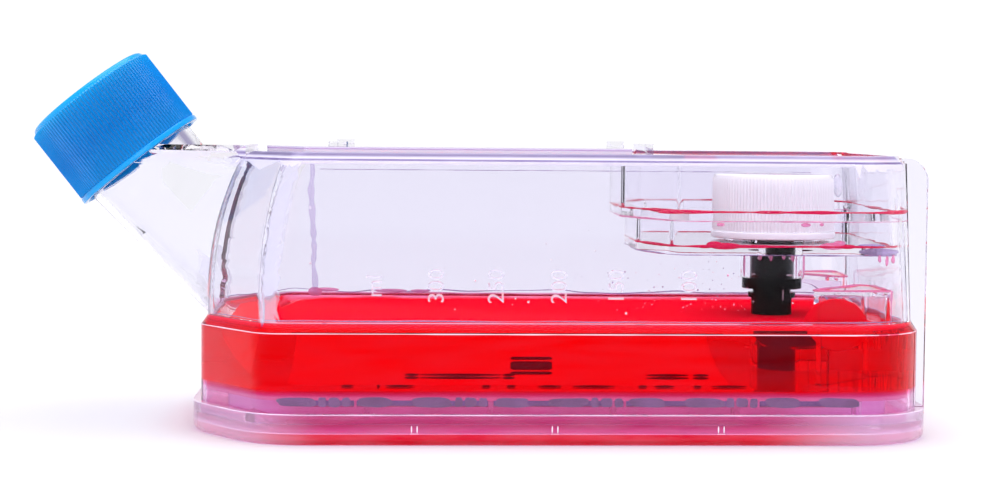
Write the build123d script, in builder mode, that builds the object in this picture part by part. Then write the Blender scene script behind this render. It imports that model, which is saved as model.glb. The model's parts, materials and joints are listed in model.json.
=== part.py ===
from build123d import *

import os
from math import atan2, cos, degrees, pi, radians, sin, sqrt

# A two-compartment culture flask. A clear vessel holds the medium above a membrane module, and
# a port in a recess of its roof leads down to the cell chamber under the membrane.
# Millimetres, +Z up. X runs from the filler neck to the standing fins, and Y = 0 is the plane of
# symmetry. The origin is midway between the neck's cap and the base's end, on the resting plane.

# Plan of the vessel, measured from the middle of its base
wall = 1.6
body_half = 44.0
body_left = 79.9
body_right = 80.1
end_in = 21.2
corner_run = 14.8
left_round = 8.0
foot_left_round = 18.0
right_round = 16.0
flange_out = 2.0

# Levels of the vessel
tray_flange_z = 4.75
housing_flange_z = 6.8
shoulder_z = 23.9
shoulder_top_z = 26.1
eaves_z = 61.0
roof_rise = 1.7
plateau_rise = 1.2
nub_rise = 1.1
shoulder_in = 1.5
side_draft = 0.055
end_draft = 0.03
lean_radius = 65.0
lean_start_z = 31.0
corner_lean = 0.67
lean_sections = 6
eaves_in = 1.7
roof_wall = 1.6

# Raised panel, stacking nubs and standing fins
plateau_in = 5.0
nub_r = 2.2
nub_in = 13.7
nub_left_x = -49.0
nub_right_x = 18.2
fin_out = 1.5
fin_in = 13.0
fin_t = 1.8
fin_drop = 0.5
fin_round = 5.0
fin_root = 8.0

# Filler neck and its cap
neck_tilt = 52.0
neck_out = 15.8
neck_drop = 4.2
neck_step = 1.2
finish_r = 12.6
finish_wall = 1.6
finish_h = 17.2
funnel_foot_in = 9.9
funnel_foot_z = 15.9
funnel_foot_half = 21.0
funnel_foot_round = 13.0

cap_thread_room = 2.3
cap_h = 20.9
cap_lip_h = 1.3
cap_lip_w = 0.2
cap_flutes = 120
flute_depth = 0.3
core_step = 0.1
cap_wall = 1.5
cap_dome = 0.5
cap_edge_round = 1.4
liner_t = 1.3
turn_gap = 0.05
liner_gap = 0.4

# Roof recess for the cell port, in two levels
recess_end_in = 4.1
ledge_depth = 12.5
ledge_reach = 35.6
ledge_corner_reach = 25.6
ledge_in = 7.9
ledge_round = 11.5
recess_depth = 20.3
floor_reach = 31.9
floor_corner_reach = 26.1
floor_in = 14.2
floor_round = 7.0
recess_end_half = 13.0
recess_left_round = 3.0
pan_wall = 1.8
pan_floor = 2.0

# Cell port: neck and cap in the recess, black coupling, tube and gland below it
port_in = 27.5
port_neck_r = 11.4
port_neck_wall = 1.8
port_neck_h = 12.7
port_thread_room = 1.8
port_cap_h = 15.2
port_cap_gap = 0.5
port_cap_lip_h = 1.6
port_cap_edge_round = 0.8
port_cap_dome = 0.2
port_cap_wall = 1.4
port_cap_flutes = 96
port_liner_t = 1.2
bore_gap = 0.05
coupling_r = 5.2
coupling_bore_r = 3.0
coupling_waist_r = 4.5
coupling_seat_w = 2.0
coupling_seat_t = 1.4
coupling_flange_in = 0.35
coupling_flange_t = 2.6
coupling_foot_h = 0.9
collar_wall = 2.15
collar_h = 7.0
tube_r = 4.8
tube_wall = 1.9
tube_flange_w = 0.8
tube_flange_t = 1.3
gland_shift = 2.6
gland_length = 17.0
gland_side = 2.0
gland_h = 6.5
gland_round = 1.2
gland_foot_chamfer = 0.8
boss_h = 3.4
boss_grow = 0.8

# Membrane module, from the tray upwards
tray_plate_z = 3.2
tray_lip_t = 2.4
tray_plate_top_z = 5.6
tray_foot_round = 1.5
grid_rib_top_z = 7.1
silicone_t = 0.4
gasket_t = 1.7
dialysis_t = 0.3
frame_t = 2.1
grid_wall_in = 6.5
grid_wall_t = 1.5
gasket_w = 3.5
tray_ledge_w = 2.0
grid_rib_w = 1.6
grid_node_x = 1.3
grid_pitch = 29.4
grid_bays = 4
wall_windows = ((6.1, 8.4), (11.6, 1.5), (14.2, 2.6), (16.8, 1.7), (23.1, 9.0))
rib_pitch = 26.7
rib_first_x = -42.3
rib_count = 5
rib_t = 1.2
notch_x = (-32.1, -1.9, 34.0)
notch_w = 1.7
notch_h = 2.0
notch_depth = 0.9
window_left_in = 19.9
window_to_port = 14.6
window_in = 14.0
window_round = 4.0
screen_t = 1.2
screen_pitch = 7.0
screen_bar = 1.4
screen_rim = 2.0

# Corner towers of the membrane frame, either side of the port
tower_from_port = 2.2
tower_right_in = 5.7
tower_slant = 0.9
tower_in = 13.0
tower_inner_y = 10.0
tower_h = 21.0
tower_wall = 1.3
tower_round = 1.6
arch_r = 7.2
arch_drop = 2.2

# Liquids
medium_z = 25.4

# Worked-out levels and places
roof_z = eaves_z + roof_rise
plateau_z = roof_z + plateau_rise
nub_z = plateau_z + nub_rise
fin_top_z = roof_z - fin_drop
ledge_z = roof_z - ledge_depth
recess_floor_z = roof_z - recess_depth
silicone_top_z = grid_rib_top_z + silicone_t
gasket_top_z = silicone_top_z + gasket_t
frame_z = gasket_top_z + dialysis_t
floor_z = frame_z + frame_t
ledge_under_z = ledge_z - pan_wall
floor_under_z = recess_floor_z - pan_floor
collar_z = floor_under_z - collar_h
coupling_flange_z = collar_z - coupling_flange_t
coupling_foot_z = coupling_flange_z - coupling_foot_h
tower_top_z = floor_z + tower_h
arch_top_z = tower_top_z - arch_drop
grid_inner_in = grid_wall_in + grid_wall_t
tray_opening_in = grid_inner_in + tray_ledge_w
grid_nodes = range(-grid_bays // 2, grid_bays // 2)
grid_span = 2 * (body_half - grid_inner_in)
diagonal_l = sqrt(grid_pitch**2 + grid_span**2)
diagonal_turn = degrees(atan2(grid_pitch, grid_span))
port_neck_top_z = recess_floor_z + port_neck_h
port_cap_foot_z = recess_floor_z + port_cap_gap

end_half = body_half - end_in
nub_y = body_half - nub_in
fin_x = body_right + fin_out
fin_y = body_half - fin_in
port_x = body_right - port_in
recess_right = body_right - recess_end_in
ledge_left = port_x - ledge_reach
ledge_corner = port_x - ledge_corner_reach
ledge_half = body_half - ledge_in
floor_left = port_x - floor_reach
floor_corner = port_x - floor_corner_reach
floor_half = body_half - floor_in
plateau_right = ledge_left - pan_wall
window_left = window_left_in - body_left
window_right = port_x - window_to_port
window_half = body_half - window_in
tower_left = port_x + tower_from_port
tower_right = body_right - tower_right_in
tower_back_x = tower_right - tower_slant
tower_outer_y = body_half - tower_in

neck_x = -body_left - neck_out
neck_z = plateau_z - neck_drop
neck_r = finish_r + neck_step
funnel_foot_x = funnel_foot_in - body_left
cap_bore_r = finish_r + cap_thread_room
cap_r = cap_bore_r + cap_wall
cap_flute_r = cap_r - cap_lip_w
port_cap_bore_r = port_neck_r + port_thread_room
port_cap_r = port_cap_bore_r + port_cap_wall
collar_r = coupling_r + bore_gap + collar_wall
coupling_flange_r = collar_r - coupling_flange_in
tube_bore_r = tube_r - tube_wall
gland_x = port_x + gland_shift
gland_width = 2 * (tube_r + gland_side)
gland_top_z = floor_z + boss_h + gland_h

tilt_x = cos(radians(neck_tilt))
tilt_z = sin(radians(neck_tilt))
cap_reach = (cap_h - cap_dome - cap_edge_round) * tilt_x + cap_flute_r * tilt_z
mid_x = -(neck_x - cap_reach + body_right + flange_out) / 2

neck_foot = (mid_x + neck_x, 0, neck_z)
neck_dir = (-tilt_x, 0, tilt_z)
neck_axis = Axis(neck_foot, neck_dir)
neck_section = Plane(origin=neck_foot, x_dir=(tilt_z, 0, tilt_x), z_dir=(0, -1, 0))
port_axis = Axis((mid_x + port_x, 0, 0), (0, 0, 1))
port_section = Plane(origin=(mid_x + port_x, 0, 0), x_dir=(1, 0, 0), z_dir=(0, -1, 0))
port_cap_section = Plane(origin=(mid_x + port_x, 0, port_cap_foot_z), x_dir=(1, 0, 0), z_dir=(0, -1, 0))
port_cap_plane = Plane(origin=(mid_x + port_x, 0, port_cap_foot_z), x_dir=(0, 1, 0), z_dir=(0, 0, 1))

slope_x, slope_y = tower_back_x - tower_left, tower_outer_y - tower_inner_y
arch_plane = Plane(
    origin=(mid_x + tower_left + slope_x / 2, -tower_outer_y + slope_y / 2, 0),
    x_dir=(slope_x, slope_y, 0),
    z_dir=(slope_y, -slope_x, 0),
)


def neck_plane(height=0.0):
    """Plane square to the filler neck, a height above the foot of its finish."""
    foot = Vector(*neck_foot) + Vector(*neck_dir) * height
    return Plane(origin=foot, x_dir=(0, 1, 0), z_dir=neck_dir)


def vessel_plan(z, inset=0.0, lean=0.0, narrowing=0.0, end_loss=0.0, corner_round=left_round):
    """Outline of the vessel at a level: tapered to the neck end, its corners rounded."""
    left = mid_x - body_left + lean
    corner = mid_x - body_left + corner_run + corner_lean * lean
    right = mid_x + body_right - end_loss
    half = body_half - narrowing
    with BuildSketch(Plane.XY.offset(z)) as plan:
        with BuildLine():
            Polyline(
                (left, -end_half), (corner, -half), (right, -half),
                (right, half), (corner, half), (left, end_half), close=True,
            )
        make_face()
        fillet(plan.vertices().sort_by(Axis.X)[:4], corner_round)
        fillet(plan.vertices().sort_by(Axis.X)[-2:], right_round)
        if inset:
            offset(amount=-inset, kind=Kind.INTERSECTION)
    return plan.sketch


def foot_plan(z, inset=0.0):
    """Outline of the foot, the flanges and the module, rounder at the neck end than the walls."""
    return vessel_plan(z, inset, corner_round=foot_left_round)


def upper_plan(z, inset=0.0):
    """Outline above the shoulder, where the walls draw in and the neck end leans back."""
    rise = z - shoulder_top_z
    bend = max(z - lean_start_z, 0.0)
    lean = lean_radius - sqrt(lean_radius**2 - bend**2)
    return vessel_plan(z, inset + shoulder_in, lean, side_draft * rise, end_draft * rise)


def upper_sections(inset, top_z):
    """The outlines that the upper walls are lofted through."""
    step = (top_z - shoulder_top_z) / (lean_sections - 1)
    return [upper_plan(shoulder_top_z + step * count, inset) for count in range(lean_sections)]


def recess_plan(z, left, corner, half, corner_round, grow=0.0):
    """One level of the roof recess: tapered towards the neck, rounded at the fin end."""
    with BuildSketch(Plane.XY.offset(z)) as plan:
        with BuildLine():
            Polyline(
                (mid_x + left, -recess_end_half), (mid_x + corner, -half),
                (mid_x + recess_right, -half), (mid_x + recess_right, half),
                (mid_x + corner, half), (mid_x + left, recess_end_half), close=True,
            )
        make_face()
        fillet(plan.vertices().sort_by(Axis.X)[:4], recess_left_round)
        fillet(plan.vertices().sort_by(Axis.X)[-2:], corner_round)
        if grow:
            offset(amount=grow, kind=Kind.INTERSECTION)
    return plan.sketch


def ledge_plan(z, grow=0.0):
    return recess_plan(z, ledge_left, ledge_corner, ledge_half, ledge_round, grow)


def floor_plan(z, grow=0.0):
    return recess_plan(z, floor_left, floor_corner, floor_half, floor_round, grow)


def funnel_end(inset=0.0):
    """Where the funnel of the neck ends inside the vessel: a rounded upright rectangle."""
    top = plateau_z + 8.0
    foot = Plane(origin=(mid_x + funnel_foot_x, 0, (funnel_foot_z + top) / 2), x_dir=(0, 1, 0), z_dir=(-1, 0, 0))
    height = top - funnel_foot_z - 2 * inset
    with BuildSketch(foot) as end:
        RectangleRounded(2 * (funnel_foot_half - inset), height, funnel_foot_round - inset)
    return end.sketch


def funnel_mouth(radius):
    """Where the funnel meets the round neck."""
    with BuildSketch(neck_plane()) as mouth:
        RectangleRounded(2 * radius, 2 * radius, radius - 0.02)
    return mouth.sketch


def fluted_disc(plane, radius, count):
    """A disc with a fine saw of grip flutes round its edge."""
    points = []
    for flute in range(count):
        land, root = 2 * pi * flute / count, 2 * pi * (flute + 0.5) / count
        points.append((radius * cos(land), radius * sin(land)))
        points.append(((radius - flute_depth) * cos(root), (radius - flute_depth) * sin(root)))
    with BuildSketch(plane) as disc:
        with BuildLine():
            Polyline(*points, close=True)
        make_face()
    return disc.sketch


def screw_cap(plane, section, axis, sizes):
    """A cap with a plain lip, a fluted skirt, a rounded edge and a domed top, bored from below."""
    radius, flute_r, height, lip_h, edge, dome, flutes, bore_r, bore_h = sizes
    core_r = flute_r - flute_depth - core_step
    top = height - dome
    slant = edge * (1 - sqrt(0.5))
    rim = core_r - edge
    ball_r = (rim**2 + dome**2) / (2 * dome)
    half_rise = sqrt(ball_r**2 - rim**2 / 4) - ball_r
    with BuildPart() as cap:
        with BuildSketch(section):
            with BuildLine():
                Polyline((0, height), (0, 0), (radius, 0), (radius, lip_h), (core_r, lip_h), (core_r, top - edge))
                ThreePointArc((core_r, top - edge), (core_r - slant, top - slant), (rim, top))
                ThreePointArc((rim, top), (rim / 2, height + half_rise), (0, height))
            make_face()
        revolve(axis=axis)
        extrude(fluted_disc(plane.offset(lip_h), flute_r, flutes), amount=top - edge - lip_h)
        with BuildSketch(plane):
            Circle(bore_r)
        extrude(amount=bore_h, mode=Mode.SUBTRACT)
    return cap.part


def tower_plan(z, inset=0.0):
    """The corner tower in plan, as a wedge that narrows towards the port."""
    with BuildSketch(Plane.XY.offset(z)) as plan:
        with BuildLine():
            Polyline(
                (mid_x + tower_left, -tower_outer_y), (mid_x + tower_right, -tower_outer_y),
                (mid_x + tower_back_x, -tower_inner_y), close=True,
            )
        make_face()
        fillet(plan.vertices(), tower_round)
        if inset:
            offset(amount=-inset, kind=Kind.INTERSECTION)
    return plan.sketch


def gland_plan(z, grow=0.0):
    """The gland's rounded outline, longer towards the fins than towards the neck."""
    with BuildSketch(Plane.XY.offset(z)) as plan:
        with Locations((mid_x + gland_x, 0)):
            SlotOverall(gland_length + 2 * grow, gland_width + 2 * grow)
    return plan.sketch


def port_ring(z, outer, inner, height):
    """A plain ring round the port's axis."""
    with BuildPart() as ring:
        with BuildSketch(Plane.XY.offset(z)):
            with Locations((mid_x + port_x, 0)):
                Circle(outer)
                Circle(inner, mode=Mode.SUBTRACT)
        extrude(amount=height)
    return ring.part


# The space inside the vessel, neck included, which shapes both the housing and the medium
with BuildPart() as vessel_space:
    extrude(vessel_plan(tray_flange_z, wall), amount=shoulder_z - tray_flange_z)
    loft([vessel_plan(shoulder_z, wall), upper_plan(shoulder_top_z, wall)], ruled=True)
    loft(upper_sections(wall, eaves_z - wall / 2))
    loft(
        [upper_plan(eaves_z - wall / 2, wall), upper_plan(roof_z - roof_wall, wall + eaves_in / 2)],
        ruled=True,
    )

with BuildPart() as funnel_space:
    loft([funnel_mouth(neck_r - wall), funnel_end(wall)], ruled=True)
    split(bisect_by=Plane.XY.offset(plateau_z - wall), keep=Keep.BOTTOM)
    with BuildSketch(neck_plane(-neck_r)):
        Circle(finish_r - finish_wall)
    extrude(amount=neck_r + finish_h)

with BuildPart() as recess_pan:
    extrude(ledge_plan(ledge_under_z, pan_wall), amount=roof_z - ledge_under_z)
    extrude(floor_plan(floor_under_z, pan_wall), amount=roof_z - floor_under_z)
    add(port_ring(collar_z, collar_r, coupling_r + bore_gap, floor_under_z - collar_z))

with BuildPart() as cavity:
    add(vessel_space.part)
    add(funnel_space.part)
    add(recess_pan.part, mode=Mode.SUBTRACT)

# Funnel and neck outside, flat on top where they run level with the roof's raised panel
with BuildPart() as neck_form:
    loft([funnel_mouth(neck_r), funnel_end()], ruled=True)
    split(bisect_by=Plane.XY.offset(plateau_z), keep=Keep.BOTTOM)

with BuildPart() as neck_tube:
    with BuildSketch(neck_plane(-neck_r)):
        Circle(neck_r)
    extrude(amount=neck_r)
    split(bisect_by=Plane.XY.offset(plateau_z - wall), keep=Keep.TOP)

# Clear upper moulding: walls, roof with its recess, neck, nubs and fins in one piece
with BuildPart() as flask_housing:
    extrude(vessel_plan(tray_flange_z), amount=shoulder_z - tray_flange_z)
    loft([vessel_plan(shoulder_z), upper_plan(shoulder_top_z)], ruled=True)
    loft(upper_sections(0, eaves_z))
    loft([upper_plan(eaves_z), upper_plan(roof_z, eaves_in)], ruled=True)
    extrude(foot_plan(tray_flange_z, -flange_out), amount=housing_flange_z - tray_flange_z)
    # Raised roof panel, up to the recess
    with BuildSketch(Plane.XY.offset(roof_z)):
        add(upper_plan(roof_z, plateau_in))
        with Locations((mid_x + plateau_right, 0)):
            Rectangle(2 * body_right, 4 * body_half, align=(Align.MIN, Align.CENTER), mode=Mode.SUBTRACT)
    extrude(amount=plateau_z - roof_z)
    # Stacking nubs
    with BuildSketch(Plane.XY.offset(roof_z)):
        with Locations(*[(mid_x + x, y) for x in (nub_left_x, nub_right_x) for y in (-nub_y, nub_y)]):
            Circle(nub_r)
    extrude(amount=nub_z - roof_z)
    # Standing fins, level with the flange's end so that the flask can stand on that end
    for side in (-1, 1):
        with BuildSketch(Plane.XZ.offset(-side * fin_y - fin_t / 2)) as fin:
            with Locations((mid_x + fin_x, housing_flange_z)):
                Rectangle(fin_root, fin_top_z - housing_flange_z, align=(Align.MAX, Align.MIN))
            fillet(fin.vertices().group_by(Axis.Y)[-1].sort_by(Axis.X)[-1], fin_round)
        extrude(amount=fin_t)
    add(neck_form.part)
    add(neck_tube.part)
    with BuildSketch(neck_plane()):
        Circle(finish_r)
    extrude(amount=finish_h)
    # Hollow it out, then open the recess and the port's neck
    add(cavity.part, mode=Mode.SUBTRACT)
    extrude(ledge_plan(ledge_z), amount=roof_z - ledge_z, mode=Mode.SUBTRACT)
    extrude(floor_plan(recess_floor_z), amount=roof_z - recess_floor_z, mode=Mode.SUBTRACT)
    add(port_ring(recess_floor_z, port_neck_r, port_neck_r - port_neck_wall, port_neck_h))
    with BuildSketch(Plane.XY.offset(floor_under_z)):
        with Locations((mid_x + port_x, 0)):
            Circle(coupling_r + bore_gap)
    extrude(amount=pan_floor, mode=Mode.SUBTRACT)
flask_housing.part.label = "flask_housing"

# Clear base: a foot rim with a flange under the housing's, and a plate that carries the grid
with BuildPart() as base_tray:
    extrude(foot_plan(0, -flange_out), amount=tray_flange_z)
    fillet(base_tray.faces().sort_by(Axis.Z)[0].edges(), tray_foot_round)
    extrude(vessel_plan(tray_flange_z, wall), amount=tray_plate_top_z - tray_flange_z)
    extrude(foot_plan(0, tray_lip_t - flange_out), amount=tray_plate_z, mode=Mode.SUBTRACT)
    extrude(foot_plan(0, tray_opening_in), amount=tray_plate_top_z, mode=Mode.SUBTRACT)
    # Upright ribs between the grid's wall and the housing
    with BuildSketch(Plane.XY.offset(tray_plate_top_z)):
        for side in (-1, 1):
            for count in range(rib_count):
                with Locations((mid_x + rib_first_x + rib_pitch * count, side * (body_half - wall))):
                    Rectangle(rib_t, grid_wall_in - wall, align=(Align.CENTER, (Align.MIN if side < 0 else Align.MAX)))
    extrude(amount=frame_z - tray_plate_top_z)
    # Moulded notches in the flange's long edges
    for side in (-1, 1):
        for x in notch_x:
            with BuildSketch(Plane.XZ.offset(-side * (body_half + flange_out - notch_depth / 2) - notch_depth / 2)):
                with Locations((mid_x + x, tray_flange_z)):
                    Rectangle(notch_w, notch_h, align=(Align.CENTER, Align.MAX))
            extrude(amount=notch_depth, mode=Mode.SUBTRACT)
base_tray.part.label = "base_tray"

# Support grid under the gas-exchange sheet: a windowed wall with cross and diagonal ribs
with BuildPart() as lower_support_grid:
    extrude(foot_plan(tray_plate_top_z, grid_wall_in), amount=frame_z - tray_plate_top_z)
    extrude(foot_plan(tray_plate_top_z, grid_inner_in), amount=frame_z - tray_plate_top_z, mode=Mode.SUBTRACT)
    with BuildSketch(Plane.XY.offset(tray_plate_top_z)) as ribs:
        for count in grid_nodes:
            with Locations((mid_x + grid_node_x + grid_pitch * count, 0)):
                Rectangle(grid_rib_w, grid_span)
            with Locations((mid_x + grid_node_x + grid_pitch * (count + 0.5), 0)):
                Rectangle(grid_rib_w, grid_span)
                Rectangle(grid_rib_w, diagonal_l, rotation=diagonal_turn)
                Rectangle(grid_rib_w, diagonal_l, rotation=-diagonal_turn)
        for y in (-grid_span / 4, 0, grid_span / 4):
            with Locations((mid_x, y)):
                Rectangle(2 * body_right, grid_rib_w)
        add(foot_plan(tray_plate_top_z, grid_inner_in), mode=Mode.INTERSECT)
    extrude(amount=grid_rib_top_z - tray_plate_top_z)
    # Windows along both long walls, two long and three short ones to each bay
    window_h = gasket_top_z - silicone_top_z
    wall_depth = 2 * (body_half - grid_wall_in) + 2
    with BuildSketch(Plane.XZ.offset(-wall_depth / 2)):
        for count in grid_nodes:
            node = mid_x + grid_node_x + grid_pitch * count
            for place, width in wall_windows:
                with Locations((node + place, silicone_top_z + window_h / 2)):
                    Rectangle(width, window_h)
    extrude(amount=wall_depth, mode=Mode.SUBTRACT)
lower_support_grid.part.label = "lower_support_grid"

# Gas-exchange sheet that closes the cell chamber from below
with BuildPart() as silicone_membrane:
    extrude(foot_plan(grid_rib_top_z, grid_inner_in), amount=silicone_t)
silicone_membrane.part.label = "silicone_membrane"

# Gasket round the cell chamber
with BuildPart() as cell_gasket:
    extrude(foot_plan(silicone_top_z, grid_inner_in), amount=gasket_t)
    extrude(foot_plan(silicone_top_z, grid_inner_in + gasket_w), amount=gasket_t, mode=Mode.SUBTRACT)
cell_gasket.part.label = "cell_gasket"

# The thin layer of cells in their medium
with BuildPart() as cell_suspension:
    extrude(foot_plan(silicone_top_z, grid_inner_in + gasket_w), amount=gasket_t)
cell_suspension.part.label = "cell_suspension"

# Dialysis sheet between the cell chamber and the medium
with BuildPart() as dialysis_membrane:
    extrude(foot_plan(gasket_top_z, grid_inner_in), amount=dialysis_t)
    with Locations((mid_x + port_x, 0, gasket_top_z)):
        Hole(tube_r)
dialysis_membrane.part.label = "dialysis_membrane"

# Frame that seals the module to the walls, with its two hollow corner towers and the port's boss
with BuildPart() as arch_cutter:
    with BuildSketch(arch_plane):
        with Locations((0, arch_top_z - arch_r)):
            Circle(arch_r)
        with Locations((0, floor_z)):
            Rectangle(2 * arch_r, arch_top_z - arch_r - floor_z, align=(Align.CENTER, Align.MIN))
    extrude(amount=2 * tower_wall, both=True)

with BuildPart() as membrane_frame:
    extrude(vessel_plan(frame_z, wall), amount=frame_t)
    with BuildSketch(Plane.XY.offset(frame_z)):
        with Locations((mid_x + (window_left + window_right) / 2, 0)):
            RectangleRounded(window_right - window_left, 2 * window_half, window_round)
    extrude(amount=frame_t, mode=Mode.SUBTRACT)
    extrude(gland_plan(floor_z, grow=boss_grow), amount=boss_h)
    extrude(tower_plan(floor_z), amount=tower_top_z - floor_z)
    extrude(tower_plan(frame_z, tower_wall), amount=tower_top_z - tower_wall - frame_z, mode=Mode.SUBTRACT)
    add(arch_cutter.part, mode=Mode.SUBTRACT)
    split(bisect_by=Plane.XZ, keep=Keep.TOP)
    mirror(about=Plane.XZ)
    with BuildSketch(Plane.XY.offset(frame_z)):
        with Locations((mid_x + port_x, 0)):
            Circle(tube_r)
    extrude(amount=frame_t + boss_h, mode=Mode.SUBTRACT)
membrane_frame.part.label = "membrane_frame"

# Open screen that holds the dialysis sheet down from above
with BuildPart() as upper_support_grid:
    screen_l, screen_w = window_right - window_left, 2 * window_half
    with BuildSketch(Plane.XY.offset(frame_z)):
        with Locations((mid_x + (window_left + window_right) / 2, 0)):
            RectangleRounded(screen_l, screen_w, window_round)
            across = int((screen_l - 2 * screen_rim) // screen_pitch)
            along = int((screen_w - 2 * screen_rim) // screen_pitch)
            with GridLocations(screen_pitch, screen_pitch, across, along):
                Rectangle(screen_pitch - screen_bar, screen_pitch - screen_bar, mode=Mode.SUBTRACT)
    extrude(amount=screen_t)
upper_support_grid.part.label = "upper_support_grid"

# Black elastomer coupling, pushed into the housing's collar from above and below the recess
with BuildPart() as port_coupling:
    seat_top = recess_floor_z + coupling_seat_t
    with BuildSketch(port_section):
        with BuildLine():
            Polyline(
                (coupling_bore_r, coupling_foot_z), (coupling_waist_r, coupling_foot_z),
                (coupling_waist_r, coupling_flange_z), (coupling_flange_r, coupling_flange_z),
                (coupling_flange_r, collar_z), (coupling_r, collar_z), (coupling_r, recess_floor_z),
                (coupling_r + coupling_seat_w, recess_floor_z), (coupling_r + coupling_seat_w, seat_top),
                (coupling_bore_r + coupling_seat_t, seat_top), (coupling_bore_r, recess_floor_z), close=True,
            )
        make_face()
    revolve(axis=port_axis)
port_coupling.part.label = "port_coupling"

# Black tube from the coupling down to the cell chamber
with BuildPart() as dip_tube:
    tube_flange_z = coupling_foot_z - tube_flange_t
    with BuildSketch(port_section):
        with BuildLine():
            Polyline(
                (tube_bore_r, gasket_top_z), (tube_r, gasket_top_z), (tube_r, tube_flange_z),
                (tube_r + tube_flange_w, tube_flange_z), (tube_r + tube_flange_w, coupling_foot_z),
                (tube_bore_r, coupling_foot_z), close=True,
            )
        make_face()
    revolve(axis=port_axis)
dip_tube.part.label = "dip_tube"

# Black gland that seals the tube into the frame's boss
with BuildPart() as port_gland:
    extrude(gland_plan(floor_z + boss_h), amount=gland_h)
    fillet(port_gland.faces().sort_by(Axis.Z)[-1].edges(), gland_round)
    chamfer(port_gland.faces().sort_by(Axis.Z)[0].edges(), gland_foot_chamfer)
    with BuildSketch(Plane.XY.offset(floor_z + boss_h)):
        with Locations((mid_x + port_x, 0)):
            Circle(tube_r)
    extrude(amount=gland_h, mode=Mode.SUBTRACT)
port_gland.part.label = "port_gland"

# Medium up to its level, round the towers, the tube and the gland
with BuildPart() as medium:
    with BuildSketch(Plane.XY.offset(floor_z)):
        Rectangle(4 * body_right, 4 * body_half)
    extrude(amount=medium_z - floor_z)
    add(cavity.part, mode=Mode.INTERSECT)
    add(membrane_frame.part, mode=Mode.SUBTRACT)
    add(port_gland.part, mode=Mode.SUBTRACT)
    with BuildSketch(Plane.XY.offset(floor_z)):
        with Locations((mid_x + port_x, 0)):
            Circle(tube_r)
    extrude(amount=medium_z - floor_z, mode=Mode.SUBTRACT)
medium.part.label = "medium"

# Blue screw cap: fluted skirt over a plain lip, with a slightly domed top
with BuildPart() as medium_cap:
    cap_bore_h = finish_h + turn_gap + liner_t + turn_gap
    cap_sizes = (
        cap_r, cap_flute_r, cap_h, cap_lip_h, cap_edge_round, cap_dome, cap_flutes, cap_bore_r, cap_bore_h,
    )
    add(screw_cap(neck_plane(), neck_section, neck_axis, cap_sizes))
medium_cap.part.label = "medium_cap"

# Soft liner that seals the blue cap on the neck's mouth
with BuildPart() as medium_cap_liner:
    with BuildSketch(neck_plane(finish_h + turn_gap)):
        Circle(cap_bore_r - liner_gap)
    extrude(amount=liner_t)
medium_cap_liner.part.label = "medium_cap_liner"

# White screw cap of the cell port, finely fluted
with BuildPart() as port_cap:
    port_cap_bore_h = port_neck_top_z + turn_gap + port_liner_t + turn_gap - port_cap_foot_z
    port_cap_sizes = (
        port_cap_r, port_cap_r - flute_depth, port_cap_h, port_cap_lip_h, port_cap_edge_round, port_cap_dome,
        port_cap_flutes, port_cap_bore_r, port_cap_bore_h,
    )
    add(screw_cap(port_cap_plane, port_cap_section, port_axis, port_cap_sizes))
port_cap.part.label = "port_cap"

# Soft liner that seals the white cap on the port's neck
with BuildPart() as port_cap_liner:
    with BuildSketch(Plane.XY.offset(port_neck_top_z + turn_gap)):
        with Locations((mid_x + port_x, 0)):
            Circle(port_cap_bore_r - liner_gap)
    extrude(amount=port_liner_t)
port_cap_liner.part.label = "port_cap_liner"

os.makedirs("parts", exist_ok=True)
pieces = (
    flask_housing, base_tray, membrane_frame, upper_support_grid, dialysis_membrane, cell_suspension,
    cell_gasket, silicone_membrane, lower_support_grid, medium, port_coupling, dip_tube, port_gland,
    medium_cap, medium_cap_liner, port_cap, port_cap_liner,
)
for piece in pieces:
    export_step(piece.part, f"parts/{piece.part.label}.step")
print("origin to the base's middle", mid_x)
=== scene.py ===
import json
from math import pi, radians

import bmesh
import bpy
import numpy as np
from mathutils import Matrix, Vector


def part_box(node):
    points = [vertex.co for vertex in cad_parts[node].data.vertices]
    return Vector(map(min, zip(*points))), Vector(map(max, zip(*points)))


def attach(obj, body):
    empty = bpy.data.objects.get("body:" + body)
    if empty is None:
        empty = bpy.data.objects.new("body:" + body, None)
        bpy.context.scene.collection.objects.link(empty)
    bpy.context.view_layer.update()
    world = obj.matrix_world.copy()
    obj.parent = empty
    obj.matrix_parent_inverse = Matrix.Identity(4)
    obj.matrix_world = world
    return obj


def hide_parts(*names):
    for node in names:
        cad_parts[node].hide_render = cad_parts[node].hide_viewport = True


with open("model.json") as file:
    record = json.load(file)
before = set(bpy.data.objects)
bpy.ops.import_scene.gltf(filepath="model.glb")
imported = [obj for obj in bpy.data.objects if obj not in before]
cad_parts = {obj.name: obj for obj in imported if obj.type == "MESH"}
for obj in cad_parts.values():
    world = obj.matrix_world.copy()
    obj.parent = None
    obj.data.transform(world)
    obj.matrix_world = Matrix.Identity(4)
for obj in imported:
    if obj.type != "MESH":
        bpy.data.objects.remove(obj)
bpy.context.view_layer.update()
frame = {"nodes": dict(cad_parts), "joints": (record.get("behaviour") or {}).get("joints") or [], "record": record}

mm = 0.001
scene = bpy.context.scene
bodyOf = {node: body for body, nodes in frame["record"]["behaviour"]["bodies"].items() for node in nodes}
hinges = {joint["child"]: joint for joint in frame["joints"] if joint["type"] == "hinge"}


# a node's lowest and highest corners, in millimetres
def boxMm(node):
    lo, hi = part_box(node)
    return np.array(lo) / mm, np.array(hi) / mm


trayLo, trayHi = boxMm("base_tray")
wallLo, wallHi = boxMm("membrane_frame")
mediumHi = boxMm("medium")[1]
footOut = 2                                # how far the foot stands out past the walls
baseX = (trayLo[0] + trayHi[0]) / 2 - 0.1    # middle of the vessel's base
wall = (trayHi[1] - footOut) - wallHi[1]     # thickness of the vessel's walls


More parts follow.
